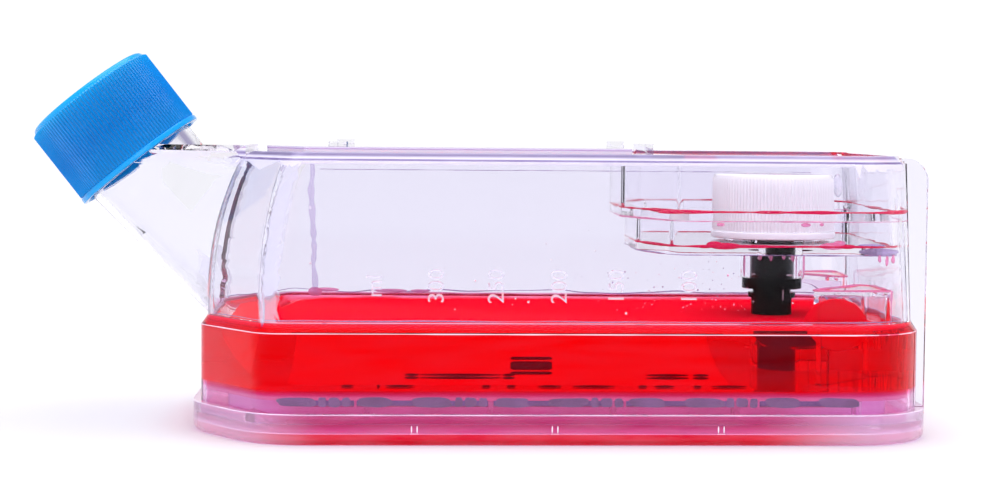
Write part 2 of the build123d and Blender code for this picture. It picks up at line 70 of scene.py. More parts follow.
def linked(name, data):
    piece = bpy.data.objects.new(name, data)
    scene.collection.objects.link(piece)
    return piece


# a node's inputs from label: value
def setInputs(node, values):
    for label, value in values.items():
        node.inputs[label].default_value = value


def newNodes(tree, *kinds):
    return [tree.nodes.new("ShaderNode" + kind) for kind in kinds]


# links given as source node, its output, target node, its input
def wire(tree, *links):
    for source, output, target, socket in links:
        tree.links.new(source.outputs[output], target.inputs[socket])


# a colour ramp's stops from place: colour
def setStops(ramp, colours):
    stops = ramp.color_ramp.elements
    stops.remove(stops[1])
    for count, place in enumerate(sorted(colours)):
        stop = stops[0] if count == 0 else stops.new(place)
        stop.position, stop.color = place, colours[place]


def newMaterial(name):
    material = bpy.data.materials.new(name)
    material.use_nodes = True
    return material, material.node_tree, material.node_tree.nodes["Principled BSDF"]


# camera: place in mm from the middle of the base, turns in degrees
camera = {"place": (-34.81, -483.86, 69.12), "yaw": 2.713, "pitch": 3.489, "roll": 0.458, "lens": 74.17}


def makeCamera():
    data = bpy.data.cameras.new("studioCamera")
    data.lens, data.sensor_width = camera["lens"], 36
    data.clip_start, data.clip_end = 0.01, 50
    eye = linked("studioCamera", data)
    place = (Vector(camera["place"]) + Vector((baseX, 0, 0))) * mm
    turn = (Matrix.Rotation(-radians(camera["yaw"]), 4, "Z")
            @ Matrix.Rotation(pi / 2 - radians(camera["pitch"]), 4, "X")
            @ Matrix.Rotation(radians(camera["roll"]), 4, "Z"))
    eye.matrix_world = Matrix.Translation(place) @ turn
    scene.camera = eye


# studio: the sky's colours by height, from -1 below to 1 overhead as 0 to 1, and a soft lamp in front
studio = {
    "floorSide": 12, "floorColour": (0.77, 0.77, 0.78, 1),
    "bright": (1.05, 1.05, 1.05, 1), "shade": (0.4, 0.37, 0.54, 1), "overhead": (3.3, 3.3, 3.3, 1),
    "sky": ((0, "bright"), (0.6, "bright"), (0.7, "shade"), (0.88, "shade"), (0.94, "overhead"),
            (1, "overhead")),
    "lampPlace": (0, -1.3, 0.5), "lampSide": 0.8, "lampPower": 4.8,     # m, m and W
}


def makeStudio():
    side = studio["floorSide"] / 2
    corners = [(-side, -side, 0), (side, -side, 0), (side, side, 0), (-side, side, 0)]
    mesh = bpy.data.meshes.new("floor")
    mesh.from_pydata(corners, [], [(0, 1, 2, 3)])
    linked("floor", mesh)
    paint, tree, shader = newMaterial("floorPaint")
    setInputs(shader, {"Base Color": studio["floorColour"], "Roughness": 0.9, "Specular IOR Level": 0.1})
    mesh.materials.append(paint)
    # sky: bright round the horizon, shaded above it, and a soft light overhead
    world = bpy.data.worlds.new("studioLight")
    scene.world = world
    world.use_nodes = True
    tree = world.node_tree
    coords, split, ramp, rise = newNodes(tree, "TexCoord", "SeparateXYZ", "ValToRGB", "MapRange")
    setInputs(rise, {"From Min": -1})
    wire(tree, (coords, "Generated", split, 0), (split, "Z", rise, "Value"), (rise, "Result", ramp, "Fac"),
         (ramp, "Color", tree.nodes["Background"], "Color"))
    setStops(ramp, {place: studio[colour] for place, colour in studio["sky"]})
    # lamp: a large square that looks back at the flask
    lamp = bpy.data.lights.new("frontLamp", "AREA")
    lamp.size, lamp.energy = studio["lampSide"], studio["lampPower"]
    place = Vector(studio["lampPlace"])
    turn = place.to_track_quat("Z", "Y").to_matrix().to_4x4()
    linked("frontLamp", lamp).matrix_world = Matrix.Translation(place) @ turn
    scene.view_settings.view_transform = "Standard"
    cycles = scene.cycles
    cycles.max_bounces, cycles.transmission_bounces, cycles.glossy_bounces = 56, 52, 12
    cycles.diffuse_bounces, cycles.transparent_max_bounces = 4, 16
    cycles.use_denoising = True


# a shader node group: inputs are name: value, a colour as a tuple, and outputs are name: kind
def newGroup(name, inputs, outputs):
    group = bpy.data.node_groups.new(name, "ShaderNodeTree")
    for label, value in inputs.items():
        kind = "Color" if isinstance(value, tuple) else "Float"
        socket = group.interface.new_socket(label, in_out="INPUT", socket_type="NodeSocket" + kind)
        socket.default_value = value
    for label, kind in outputs.items():
        group.interface.new_socket(label, in_out="OUTPUT", socket_type="NodeSocket" + kind)
    return group, group.nodes.new("NodeGroupInput"), group.nodes.new("NodeGroupOutput")


def useGroup(tree, group, **values):
    node = tree.nodes.new("ShaderNodeGroup")
    node.node_tree = group
    setInputs(node, values)
    return node


# moulded surface: height = slow waves + rippleShare x fine ripples, roughness = haze x patches
def makeMouldingGroup():
    group, given, result = newGroup(
        "mouldedSurface", {"waveScale": 60, "rippleScale": 900, "rippleShare": 0.15, "haze": 0.03},
        {"Height": "Float", "Roughness": "Float"})
    coords, wave, ripple, patch, blend, rough = newNodes(
        group, "TexCoord", "TexNoise", "TexNoise", "TexNoise", "Math", "Math")
    for noise, label in ((wave, "waveScale"), (ripple, "rippleScale"), (patch, "waveScale")):
        wire(group, (coords, "Object", noise, "Vector"), (given, label, noise, "Scale"))
    setInputs(patch, {"Detail": 5})
    blend.operation, rough.operation = "MULTIPLY_ADD", "MULTIPLY"
    wire(group, (ripple, 0, blend, 0), (given, "rippleShare", blend, 1), (wave, 0, blend, 2),
         (blend, 0, result, "Height"), (patch, 0, rough, 0), (given, "haze", rough, 1),
         (rough, 0, result, "Roughness"))
    return group


def addMoulding(tree, shader, strength=0.05):
    surface = useGroup(tree, groups["moulding"])
    bump = tree.nodes.new("ShaderNodeBump")
    setInputs(bump, {"Strength": strength, "Distance": 0.05 * mm})
    wire(tree, (surface, "Height", bump, "Height"), (bump, "Normal", shader, "Normal"),
         (surface, "Roughness", shader, "Roughness"))


# painted bands of light and shade: colour = bare tint + (band colour - bare tint) x band strength x share along
# the length x drawn-out noise. The ramp gives each band's colour by height and, as its alpha, its strength.
def makePaintedBandGroup():
    group, given, result = newGroup(
        "paintedLightBands",
        {"Clean": (0.9, 0.9, 0.95, 1), "fadeFrom": -0.04, "fadeTo": -0.02, "endFrom": 0.04, "endTo": 0.07,
         "leastShare": 0.3, "low": 0, "high": 0.03}, {"Color": "Color"})
    coords, split, ramp, level, along, ending, uneven = newNodes(
        group, "TexCoord", "SeparateXYZ", "ValToRGB", "MapRange", "MapRange", "MapRange", "MapRange")
    streaks, stretch, share, length, amount, mix = newNodes(
        group, "TexNoise", "Mapping", "Math", "Math", "Math", "Mix")
    along.interpolation_type = ending.interpolation_type = "SMOOTHSTEP"
    share.operation = length.operation = amount.operation = "MULTIPLY"
    mix.data_type = "RGBA"
    setInputs(ending, {"To Min": 1})
    setInputs(stretch, {"Scale": (0.25, 1, 1.6)})
    setInputs(streaks, {"Scale": 320, "Detail": 3})
    setInputs(uneven, {"From Min": 0.3, "From Max": 0.7, "To Min": 0.86, "To Max": 1})
    wire(group, (coords, "Object", split, 0), (split, "Z", level, "Value"), (given, "low", level, "From Min"),
         (given, "high", level, "From Max"), (level, "Result", ramp, "Fac"), (split, "X", along, "Value"),
         (given, "fadeFrom", along, "From Min"), (given, "fadeTo", along, "From Max"),
         (given, "leastShare", along, "To Min"), (split, "X", ending, "Value"),
         (given, "endFrom", ending, "From Min"), (given, "endTo", ending, "From Max"),
         (given, "leastShare", ending, "To Max"), (coords, "Object", stretch, "Vector"),
         (stretch, "Vector", streaks, "Vector"), (streaks, 0, uneven, "Value"), (ramp, "Alpha", share, 0),
         (along, "Result", length, 0), (ending, "Result", length, 1), (length, 0, share, 1),
         (share, 0, amount, 0), (uneven, "Result", amount, 1), (amount, 0, mix, "Factor"),
         (given, "Clean", mix, 6), (ramp, "Color", mix, 7), (mix, 2, result, "Color"))
    return group, ramp


# uneven colour = deep + (light - deep) x soft noise, so that a moulded or cast colour is never quite even
def makeUnevenGroup():
    group, given, result = newGroup(
        "unevenColour", {"Deep": (0.5, 0.5, 0.5, 1), "Light": (0.6, 0.6, 0.6, 1), "blotchScale": 140},
        {"Color": "Color"})
    coords, blotch, spread, mix = newNodes(group, "TexCoord", "TexNoise", "MapRange", "Mix")
    setInputs(blotch, {"Detail": 4})
    setInputs(spread, {"From Min": 0.3, "From Max": 0.7})
    mix.data_type = "RGBA"
    wire(group, (coords, "Object", blotch, "Vector"), (given, "blotchScale", blotch, "Scale"),
         (blotch, 0, spread, "Value"), (spread, "Result", mix, "Factor"), (given, "Deep", mix, 6),
         (given, "Light", mix, 7), (mix, 2, result, "Color"))
    return group


# light from a lamp or to a dull surface passes straight through, tinted, so that what stands inside is lit
def letLampsThrough(tree, shader, tint):
    path, clear = newNodes(tree, "LightPath", "BsdfTransparent")
    setInputs(clear, {"Color": (*tint, 1)})
    for ray in ("Is Diffuse Ray", "Is Shadow Ray"):
        mix = tree.nodes.new("ShaderNodeMixShader")
        wire(tree, (path, ray, mix, 0), (shader, 0, mix, 1), (clear, 0, mix, 2))
        shader = mix
    wire(tree, (shader, 0, tree.nodes["Material Output"], "Surface"))


# see-through plastic or liquid, tinted at its skin and absorbing inside. glint scales its mirror images, and
# clarity is the share of light that passes unscattered.
def clearMaterial(name, tint, ior=1.5, absorb=None, density=0, bump=0.05, glint=1, clarity=1,
                  through=None):
    material, tree, shader = newMaterial(name)
    setInputs(shader, {"Base Color": (*tint, 1), "IOR": ior, "Transmission Weight": clarity,
                       "Specular Tint": (glint, glint, glint, 1), "Roughness": 0})
    if bump:
        addMoulding(tree, shader, bump)
    if absorb:
        volume = tree.nodes.new("ShaderNodeVolumeAbsorption")
        setInputs(volume, {"Color": (*absorb, 1), "Density": density})
        wire(tree, (volume, 0, tree.nodes["Material Output"], "Volume"))
    letLampsThrough(tree, shader, through or [channel ** 0.5 for channel in tint])
    return material


# clear plastic with painted bands of light and shade, as height in mm: colour and strength. The paint grows from
# its least share along a fade and sinks back to it along an end, both in mm from the middle of the base.
def paintedBandMaterial(name, tint, bands, least=0.3, fade=(-72, -50), end=(40, 68), span=(0, 30), **values):
    material = clearMaterial("clearPolystyrene" + name, tint, **values)
    tree = material.node_tree
    group, ramp = makePaintedBandGroup()
    setStops(ramp, {(height - span[0]) / (span[1] - span[0]): colour for height, colour in bands.items()})
    bandPaint = useGroup(tree, group, Clean=(*tint, 1), leastShare=least, low=span[0] * mm, high=span[1] * mm,
                     fadeFrom=(baseX + fade[0]) * mm, fadeTo=(baseX + fade[1]) * mm,
                     endFrom=(baseX + end[0]) * mm, endTo=(baseX + end[1]) * mm)
    wire(tree, (bandPaint, "Color", tree.nodes["Principled BSDF"], "Base Color"))
    return material


# a colour that wanders by the spread either way
def unevenPaint(tree, colour, spread, **values):
    deep, light = ([min(channel * (1 + way * spread), 1) for channel in colour] for way in (-1, 1))
    return useGroup(tree, groups["uneven"], Deep=(*deep, 1), Light=(*light, 1), **values)


# a glossy solid; sheen scales its mirror images
def solidMaterial(name, colour, bump=0.1, sheen=0.5, spread=0.08):
    material, tree, shader = newMaterial(name)
    wire(tree, (unevenPaint(tree, colour, spread), "Color", shader, "Base Color"))
    addMoulding(tree, shader, bump)
    setInputs(shader, {"Specular IOR Level": sheen})
    return material


# joins doubles, turns the faces outwards, and smooths across edges that turn less than the angle
def tidied(piece, sharpAngle=35):
    work = bmesh.new()
    work.from_mesh(piece.data)
    bmesh.ops.remove_doubles(work, verts=work.verts, dist=1e-6)
    bmesh.ops.dissolve_degenerate(work, dist=1e-8, edges=work.edges)
    bmesh.ops.recalc_face_normals(work, faces=work.faces)
    limit = radians(sharpAngle)
    for edge in work.edges:
        edge.smooth = len(edge.link_faces) == 2 and edge.calc_face_angle(0) < limit
    for face in work.faces:
        face.smooth = True
    work.to_mesh(piece.data)
    work.free()
    return piece


# vectors of a mesh's vertices or faces
def readAll(items, label):
    values = np.empty(len(items) * 3)
    items.foreach_get(label, values)
    return values.reshape(-1, 3)


# points in mm, of any shape that ends in 3
def newPiece(name, points, faces, sharpAngle=35):
    mesh = bpy.data.meshes.new(name)
    mesh.from_pydata((points.reshape(-1, 3) * mm).tolist(), [], faces)
    return tidied(linked(name, mesh), sharpAngle)


# the quads between neighbours on a grid of points, whose last column is joined to the first
def gridQuads(rows, columns):
    index = np.arange(rows * columns).reshape(rows, columns)
    index = np.hstack([index, index[:, :1]])
    return np.stack([index[:-1, :-1], index[:-1, 1:], index[1:, 1:], index[1:, :-1]], -1).reshape(-1, 4)


# points of shape (rows, columns, 3). capEnds closes the first and last row with a face each.
def gridSurface(name, points, capEnds=False):
    rows, columns = points.shape[:2]
    faces = gridQuads(rows, columns).tolist()
    if capEnds:
        last = (rows - 1) * columns
        faces += [list(range(columns))[::-1], list(range(last, last + columns))]
    return newPiece(name, points, faces)


# a CAD node's skin with its corners joined, drawn in by shrink and its edges rounded, both in mm
def skinOf(node, shrink, rounding):
    work = bmesh.new()
    work.from_mesh(frame["nodes"][node].data)
    bmesh.ops.remove_doubles(work, verts=work.verts, dist=2e-6)
    bmesh.ops.dissolve_degenerate(work, dist=1e-7, edges=work.edges)
    if rounding:
        bmesh.ops.dissolve_limit(work, angle_limit=radians(0.5), verts=work.verts, edges=work.edges)
    name = node + "Skin"
    mesh = bpy.data.meshes.new(name)
    work.to_mesh(mesh)
    work.free()
    piece = tidied(linked(name, mesh), sharpAngle=25)
    if shrink:
        squeeze = piece.modifiers.new("gap", "DISPLACE")
        squeeze.strength, squeeze.mid_level = -shrink * mm, 0
    if rounding:
        soften = piece.modifiers.new("rounded", "BEVEL")
        soften.width, soften.segments = rounding * mm, 3
        soften.limit_method, soften.angle_limit = "ANGLE", radians(28)
        soften.harden_normals = soften.use_clamp_overlap = True
    return piece


# a piece that rides with a node's body and takes the given material
def detail(piece, node, material):
    piece.data.materials.append(material)
    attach(piece, bodyOf[node])
    return piece


# a piece shown in place of a CAD node
def stand(piece, node, material):
    detail(piece, node, material)
    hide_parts(node)
    return piece


def unitOf(vectors):
    return vectors / np.linalg.norm(vectors, axis=-1, keepdims=True)


# count angles round a full turn
def fullTurn(count):
    return np.linspace(0, 2 * pi, count, endpoint=False)


# three square unit vectors, the last along the direction
def axes(direction):
    along = unitOf(np.array(direction, float))
    across = unitOf(np.cross(along, (0, 1, 0)))
    return across, np.cross(along, across), along


# foot + r (cos a across + sin a side) + h along, for each (r, h) of the profile and each angle a.
# ripple(a) times the profile's third column is added to r.
def revolved(name, profile, foot, direction, steps, ripple):
    across, side, along = axes(direction)
    profile = np.array(profile, float)
    angle = fullTurn(steps)
    radius = profile[:, :1] + profile[:, 2:3] * ripple(angle)
    ring = np.cos(angle)[:, None] * across + np.sin(angle)[:, None] * side
    return gridSurface(name, np.array(foot) + radius[..., None] * ring + profile[:, None, 1:2] * along)


# profile rows (r, h, 0) along a circular arc, its angles in degrees
def arc(centre, radius, start, end, count):
    angle = np.radians(np.linspace(start, end, count))
    return np.column_stack([centre[0] + radius * np.cos(angle), centre[1] + radius * np.sin(angle),
                            np.zeros(count)]).tolist()


# a closed outline, each corner rounded by an arc of its own radius: centre + (centre to start) turned by a
def outline(corners, radii, count=8):
    corners = [np.array(corner, float) for corner in corners]
    points = []
    for here, corner in enumerate(corners):
        into = unitOf(corners[here - 1] - corner)
        out = unitOf(corners[(here + 1) % len(corners)] - corner)
        half = np.arccos(np.clip(into @ out, -1, 1)) / 2
        centre = corner + unitOf(into + out) * radii[here] / np.sin(half)
        first = corner + into * radii[here] / np.tan(half) - centre
        last = corner + out * radii[here] / np.tan(half) - centre
        turn = np.arctan2(first[0] * last[1] - first[1] * last[0], first @ last)
        a = turn * np.linspace(0, 1, count)[:, None]
        points.append(centre + np.cos(a) * first + np.sin(a) * (-first[1], first[0]))
    return np.vstack(points)


# the same closed outline with count points, evenly spaced
def evened(points, count):
    loop = np.vstack([points, points[:1]])
    run = np.concatenate([[0], np.cumsum(np.linalg.norm(np.diff(loop, axis=0), axis=1))])
    at = np.linspace(0, run[-1], count, endpoint=False)
    return np.stack([np.interp(at, run, loop[:, 0]), np.interp(at, run, loop[:, 1])], -1)


# a plan of six corners, half wide and narrowing to end at the left
def sixCornered(left, corner, right, end, half, leftRound, rightRound, count):
    corners = [(left, -end), (corner, -half), (right, -half), (right, half), (corner, half), (left, end)]
    return evened(outline(corners, [leftRound] * 2 + [rightRound] * 2 + [leftRound] * 2), count)


# unit normals of a counter-clockwise outline, pointing in
def inward(points):
    step = unitOf(np.roll(points, -1, 0) - np.roll(points, 1, 0))
    return np.stack([-step[:, 1], step[:, 0]], -1)


# an outline in plan, set at one height or at a height for each point
def atHeight(plan, z):
    return np.column_stack([plan, np.broadcast_to(z, len(plan))])


# points given from the middle of the base, moved into the shared frame
def atBase(points):
    return np.atleast_2d(points).astype(float) + (baseX, 0, 0)


# count points from start to end along x, at one depth and height
def straight(start, end, y, z, count):
    return atBase(np.column_stack([np.linspace(start, end, count), np.full((count, 2), (y, z))]))


makeCamera()
makeStudio()
groups = {"moulding": makeMouldingGroup(), "uneven": makeUnevenGroup()}
print("camera and studio ready")

# plastics, rubbers and liquids
# the clear plastic's lavender tint is painted light: it stands in for the violet cast of the studio round the
# flask
plastic = {"tint": (0.862, 0.853, 0.9), "glint": 0.12, "through": (0.985, 0.98, 0.995)}
passing = {"through": plastic["through"]}
clearPlastic = clearMaterial("clearPolystyrene", bump=0.02, **plastic)
# painted light: a lighter, clearer copy of the clear plastic over the neck
neckPlastic = clearMaterial("clearPolystyreneNeck", (0.925, 0.923, 0.955), glint=0.3, bump=0.01, **passing)
# painted shade: dark lines along the eave fillets and a milky lavender skin over them
eavesPlastic = paintedBandMaterial(
    "Eaves", (0.84, 0.8, 0.92),
    {60.8: (0.8, 0.8, 0.9, 0), 61: (0.14, 0.09, 0.28, 1), 61.35: (0.14, 0.09, 0.28, 1),
     61.55: (0.8, 0.8, 0.9, 0), 61.9: (0.36, 0.3, 0.54, 0.6), 62.2: (0.22, 0.17, 0.38, 1),
     62.6: (0.34, 0.28, 0.52, 0.9), 62.9: (0.85, 0.85, 0.95, 0.3), 63.2: (0.8, 0.8, 0.9, 0),
     63.4: (0.34, 0.12, 0.42, 1), 63.7: (0.6, 0.5, 0.7, 0.6)},
    least=1, span=(55, 70), glint=0.3, clarity=0.35, **passing)
# painted shade: a milky grey-violet share on the rounded corners at the neck end, for their soft shading
cornerPlastic = clearMaterial("clearPolystyreneCorner", (0.8, 0.79, 0.9), glint=0.3, clarity=0.74, bump=0.01)
# painted light: a lighter copy of the clear plastic round the recess, so the white cap behind it shows brighter
recessPlastic = clearMaterial("clearPolystyreneRecess", (0.965, 0.955, 0.985), glint=0.12, **passing)
# painted light: the red of the medium seen through the wall, pinker towards the neck end, with pale and dark lines
# at the shoulder
bandPlastic = paintedBandMaterial(
    "Band", (0.82, 0.48, 0.86),
    {7: (0.92, 0.5, 0.74, 0.9), 8: (0.96, 0.68, 0.84, 0.9), 10.2: (0.96, 0.62, 0.8, 0.9),
     10.7: (0.85, 0.12, 0.38, 0.9), 11.5: (0.97, 0, 0.02, 1), 24.6: (0.97, 0, 0.01, 1),
     25.5: (0.8, 0.06, 0.22, 1), 26.1: (0.88, 0.6, 0.8, 0.9)},
    least=0.85, fade=(-80, -66), end=(90, 100), glint=0.05, clarity=0.94)
# painted light: the pink and red glow of the medium carried down through the flange and the base
flangePlastic = paintedBandMaterial(
    "Flange", (0.87, 0.8, 0.95),
    {4.7: (0.6, 0.05, 0.2, 1), 5.6: (0.66, 0.06, 0.27, 1), 6.5: (0.7, 0.09, 0.34, 0.95),
     7: (0.95, 0.7, 0.88, 0.5)},
    least=0.25, glint=0.25, clarity=0.68)
lowerPlastic = paintedBandMaterial(
    "Base", (0.88, 0.78, 0.94),
    {0: (0.95, 0, 0.04, 1), 1.1: (0.72, 0, 0.02, 1), 1.5: (0.95, 0, 0.04, 1),
     2.5: (0.92, 0, 0.05, 1), 2.75: (0.82, 0.12, 0.38, 0.95), 3.6: (0.84, 0.11, 0.37, 1),
     4.7: (0.58, 0.04, 0.17, 1), 9: (0.72, 0.1, 0.26, 0.9)},
    least=0.28, glint=0.25, clarity=0.62)
# painted light: the pink and red glow of the medium on the lower grid and the frame's plate
gridPlastic = paintedBandMaterial(
    "Grid", (0.85, 0.72, 0.85), {5: (0.68, 0.07, 0.24, 0.9), 9.6: (0.7, 0.08, 0.26, 0.95)},
    least=0.25, glint=0.3, clarity=0.3)
framePlastic = clearMaterial("clearPolystyreneFrame", (0.95, 0.88, 0.95), ior=1.25, glint=0.4)
platePlastic = paintedBandMaterial(
    "FramePlate", (0.9, 0.8, 0.9),
    {9.5: (0.8, 0.06, 0.2, 0.85), 11.6: (0.85, 0.01, 0.03, 0.95)},
    least=0.6, ior=1.25, glint=0.2, clarity=0.4)
# painted shade: the clear screen is drawn as a near-black solid, for the shade under the medium
screenPlastic = solidMaterial("clearPolystyreneScreen", (0.08, 0, 0.003))
liquid = {"tint": (1, 1, 1), "ior": 1.34, "bump": 0, "through": (1, 1, 1)}
redLiquid = clearMaterial("redMedium", absorb=(0.995, 0, 0.1), density=90, glint=0.05, **liquid)
cellLiquid = clearMaterial("cellLayer", absorb=(0.98, 0.25, 0.5), density=60, glint=0.1, **liquid)
blackRubber = solidMaterial("blackElastomer", (0.001, 0.001, 0.0015), sheen=0.05)
greyRubber = solidMaterial("greyElastomer", (0.11, 0.12, 0.23), sheen=0.2, spread=0.3)
# painted shade: a dark grey-violet for sheets behind the grid's windows
windowShadeGrey = solidMaterial("paintedWindowShade", (0.13, 0.16, 0.185), sheen=0.2, spread=0.3)
linerFoam = solidMaterial("linerFoam", (0.75, 0.75, 0.72))
thinSheet = clearMaterial("thinSheet", (0.97, 0.93, 0.95), 1.3, glint=0.3)
wetRed = clearMaterial("wetRed", (0.75, 0.01, 0.1), 1.34, glint=0.6, clarity=0.35, through=(0.9, 0.3, 0.4))
wetPink = clearMaterial("wetPink", (0.93, 0.38, 0.62), 1.34, glint=0.8, clarity=0.7)
# violet for wet lines and drops, and for painted shade lines along edges
violetWetAndShade = clearMaterial("violetWetAndShade", (0.55, 0.45, 0.68), 1.34, glint=0.8, clarity=0.7)
# painted shade: a pale violet for the streak that stands for the back corner's edge
backCornerShade = clearMaterial("backCornerShade", (0.8, 0.74, 0.9), 1.1, glint=0.5, clarity=0.85)
# clear for wet drops, and for beads painted as glints on the coupling
clearWetAndGlint = clearMaterial("clearWetAndGlint", (0.93, 0.92, 0.98), 1.34, clarity=0.75)
# painted highlight: a pale, mostly dull material for bright lines and glints on edges
paintedHighlightLine = clearMaterial("paintedEdgeHighlight", (0.97, 0.93, 1), 1.3, clarity=0.3)
raisedMark = clearMaterial("raisedMark", (0.9, 0.88, 0.96), 1.12, clarity=0.72)
print("materials ready")

# screw caps, in mm: a plain lip, a finely fluted skirt, a rounded edge and a slightly domed top. lightened
# gives the rim colour's share at shares of the height: rim is painted light, a glow through the cap's edges,
# and grooveShade is painted shade in the flutes.
mediumCap = {
    "node": "medium_cap", "radius": 16.4, "height": 20.9, "lipHeight": 1.3, "fluteRadius": 16.2,
    "fluteDepth": 0.32, "core": 15.5, "flutes": 120, "edge": 1.05, "dome": 0.5, "bore": 14.9,
    "boreHeight": 18.6, "face": (0.002, 0.225, 0.68), "rim": (0.01, 0.4, 0.84), "grooveShade": 0.68,
}
portCap = {
    "node": "port_cap", "radius": 14.6, "height": 15.2, "lipHeight": 1.6, "fluteRadius": 14.3,
    "fluteDepth": 0.2, "core": 13.98, "flutes": 110, "edge": 0.8, "dome": 0.2, "bore": 13.2,
    "boreHeight": 13.5, "face": (0.97, 0.965, 0.975), "rim": (1, 0.995, 1), "grooveShade": 0.93,
}
capShape = {
    "chamfer": 0.4, "lipRound": 0.3, "runIn": 0.35, "runOut": 0.4, "sharpness": 0.7, "flutePoints": 6,
    "lightened": ((0, 0.8), (0.1, 0.25), (0.45, 0), (0.8, 0.25), (0.93, 0.8), (1, 1)), "spread": 0.07,
}


# the colour of a cap, with painted light and shade: lighter towards both of its rims, a painted glow through its
# edges, and painted shade darker in its grooves; the height over the cap's foot is the dot product of place and
# axis
def capPaint(name, cap, foot, direction):
    material, tree, shader = newMaterial(name)
    coords, dot, rise, ends, blend, groove, darken = newNodes(
        tree, "TexCoord", "VectorMath", "MapRange", "ValToRGB", "Mix", "Attribute", "Mix")
    dot.operation, darken.blend_type, groove.attribute_name = "DOT_PRODUCT", "MULTIPLY", "groove"
    blend.data_type = darken.data_type = "RGBA"
    start = float(np.dot(foot, direction)) * mm
    setInputs(dot, {1: direction})
    setInputs(rise, {"From Min": start, "From Max": start + cap["height"] * mm})
    setInputs(blend, {7: (*cap["rim"], 1)})
    setInputs(darken, {7: (*[cap["grooveShade"]] * 3, 1)})
    setStops(ends, {place: (value, value, value, 1) for place, value in capShape["lightened"]})
    uneven = unevenPaint(tree, cap["face"], capShape["spread"], blotchScale=90)
    wire(tree, (coords, "Object", dot, 0), (dot, "Value", rise, "Value"), (rise, "Result", ends, "Fac"),
         (ends, "Color", blend, "Factor"), (uneven, "Color", blend, 6), (blend, 2, darken, 6),
         (groove, "Fac", darken, "Factor"), (darken, 2, shader, "Base Color"))
    addMoulding(tree, shader, 0.04)
    setInputs(shader, {"Specular IOR Level": 0.2})
    return material


# r = profile + depth (1 - |sin(flutes a / 2)|^sharpness) over the skirt: rounded flutes, fine grooves between
def makeCap(cap, foot, direction, material):
    lip, core, edge, bore = cap["lipHeight"], cap["core"], cap["edge"], cap["bore"]
    chamfer, small = capShape["chamfer"], capShape["lipRound"]
    runIn, runOut = capShape["runIn"], capShape["runOut"]
    top = cap["height"] - cap["dome"]
    skirt = cap["fluteRadius"] - cap["fluteDepth"]
    rim = core - edge
    ceiling = cap["boreHeight"]
    rows = [(0, ceiling, 0), (bore, ceiling, 0), (bore, chamfer, 0), (bore + chamfer, 0, 0)]
    rows += arc((cap["radius"] - small, small), small, -90, 0, 4)
    rows += arc((cap["radius"] - small, lip - small), small, 0, 90, 4)
    rows += [(skirt - 0.05, lip + 0.02, 0), (skirt, lip + runIn, 1)]
    rows += [(skirt, lip + runIn + share * (top - edge - lip - runIn - runOut), 1)
             for share in (0.25, 0.5, 0.75, 1)]
    rows += [((skirt + core) / 2, top - edge - 0.15, 0.5)]
    rows += arc((rim, top - edge), edge, 4, 90, 8)
    rows += [(rim * share, top + cap["dome"] * (1 - share ** 2), 0) for share in (0.9, 0.75, 0.5, 0.25, 0)]

    def flutes(angle):
        return cap["fluteDepth"] * (1 - np.abs(np.sin(cap["flutes"] * angle / 2)) ** capShape["sharpness"])
    steps = cap["flutes"] * capShape["flutePoints"]
    piece = revolved(cap["node"] + "Shell", rows, foot, direction, steps, flutes)
    # the depth of each point in its groove, for the painted shade in the grooves
    along = unitOf(np.array(direction))
    away = readAll(piece.data.vertices, "co") / mm - np.array(foot)
    rise = away @ along
    radius = np.linalg.norm(away - rise[:, None] * along, axis=1)
    onSkirt = (rise > lip + 0.2) & (rise < top - edge + 0.1) & (radius > skirt - 0.1)
    depth = np.clip(1 - (radius - skirt) / cap["fluteDepth"], 0, 1) ** 2
    groove = piece.data.attributes.new("groove", "FLOAT", "POINT")
    groove.data.foreach_set("value", np.where(onSkirt, depth, 0))
    stand(piece, cap["node"], material)


neckFoot = np.array(hinges["medium_cap"]["pos_m"]) / mm
neckAxis = np.array(hinges["medium_cap"]["axis"])
portFoot = np.array(hinges["port_cap"]["pos_m"]) / mm
portAxis = (0, 0, 1)
portCapLift = (0, 0, 0.5)                    # the white cap sits this far over its joint's place
makeCap(mediumCap, neckFoot, neckAxis, capPaint("blueCapPlastic", mediumCap, neckFoot, neckAxis))
makeCap(portCap, portFoot + portCapLift, portAxis, capPaint("whiteCapPlastic", portCap, portFoot, portAxis))
print("caps made")

# red medium, in mm: its walls draw in above the shoulder and it climbs them by a meniscus
medium = {
    "overlap": 0.2, "level": 24.6, "shoulder": 23.9, "shoulderIn": 1.5, "shoulderTop": 26.1,
    "meniscus": 1.1, "reach": 1.3, "floor": 11.5, "points": 360, "leftHalf": 22.8, "cornerRun": 14.8,
    "leftRound": 8, "rightRound": 16,
}


# the vessel's inner wall in plan, drawn in by an inset
def wallOutline(inset, leftRound=medium["leftRound"]):
    left, right, half = wallLo[0] - wall, wallHi[0] + wall, wallHi[1] + wall
    base = sixCornered(left, left + medium["cornerRun"], right, medium["leftHalf"], half, leftRound,
                       medium["rightRound"], medium["points"])
    return base + inward(base) * (wall + inset)


# a closed body through the vessel's plan, given as rows of inset and height
def pouredSurface(name, rows):
    return gridSurface(name, np.array([atHeight(wallOutline(inset), z) for inset, z in rows]), capEnds=True)


# z = level + meniscus exp(-d / reach) at a distance d from the wall
def makeMedium():
    level, climb = medium["level"], medium["meniscus"]
    slope = medium["shoulderIn"] / (medium["shoulderTop"] - medium["shoulder"])
    edge = slope * (level + climb - medium["shoulder"]) - medium["overlap"]
    rows = [(-medium["overlap"], medium["floor"]), (-medium["overlap"], medium["shoulder"] - 0.05)]
    rows += [(edge + distance, level + climb * np.exp(-distance / medium["reach"]))
             for distance in (0, 0.15, 0.35, 0.6, 0.9, 1.3, 1.8, 2.5, 3.5)]
    stand(pouredSurface("mediumLiquid", rows + [(edge + 5, level)]), "medium", redLiquid)


